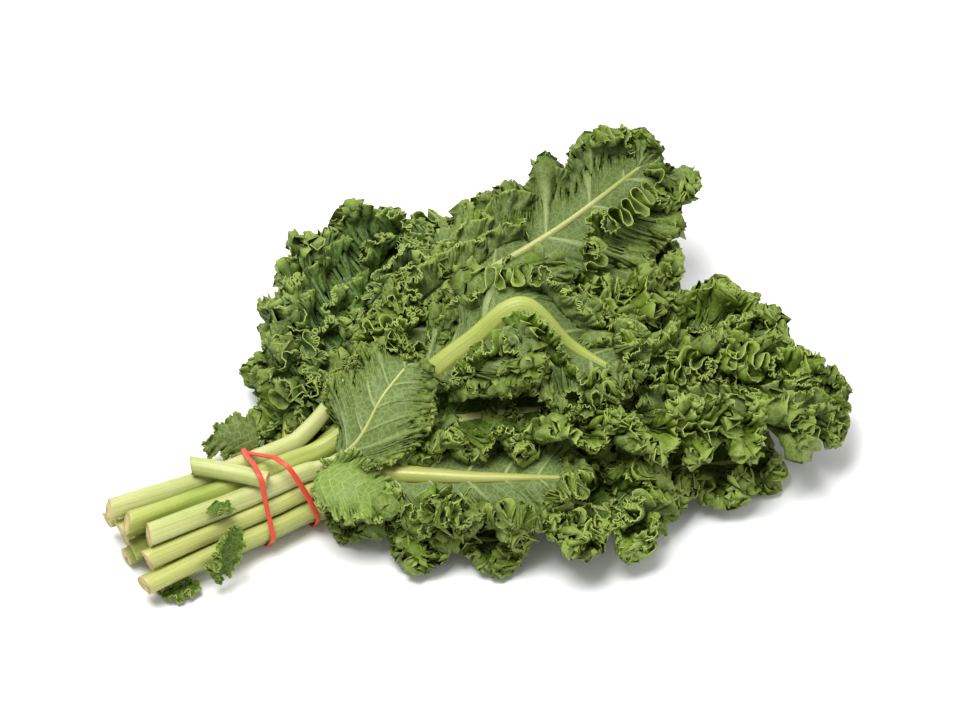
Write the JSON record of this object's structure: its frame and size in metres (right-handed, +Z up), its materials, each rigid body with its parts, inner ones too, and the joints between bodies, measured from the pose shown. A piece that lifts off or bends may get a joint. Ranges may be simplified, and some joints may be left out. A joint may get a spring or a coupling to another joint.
{
  "type": "kale bunch",
  "caption": "Tied bunch of curly kale lying on its side: long pale stalks held by a wound rubber band, with frilled leaves fanning out in a low heap.",
  "frame": {"origin": "centre of the bounding box seen from above, on the surface that the bunch lies on", "axes": "+X along the bunch from the cut ends of the stalks to the leaf tips, +Z up from the surface"},
  "size_m": [0.4174, 0.2836, 0.1064],
  "materials": {
    "leaf": "fresh curly kale leaf: matte green blade on a pale juicy stalk",
    "scrap": "torn piece of fresh kale leaf, matte",
    "stalk": "pale green stalk, smooth and slightly waxy",
    "band": "red-orange elastic band, satin"
  },
  "bodies": {
    "root": {"leaf_01": "leaf", "leaf_02": "leaf", "leaf_03": "leaf", "leaf_04": "leaf", "leaf_05": "leaf", "leaf_06": "leaf", "leaf_07": "leaf", "leaf_08": "leaf", "leaf_09": "leaf", "leaf_10": "leaf", "leaf_11": "leaf", "leaf_12": "leaf", "leaf_13": "leaf", "leaf_14": "leaf", "leaf_15": "leaf", "leaf_16": "leaf", "small_leaf": "scrap", "scrap_hanging": "scrap", "scrap_low": "scrap", "scrap_far": "scrap", "scrap_top": "scrap", "snapped_stalk": "stalk", "rubber_band": "band"}
  },
  "joints": []
}
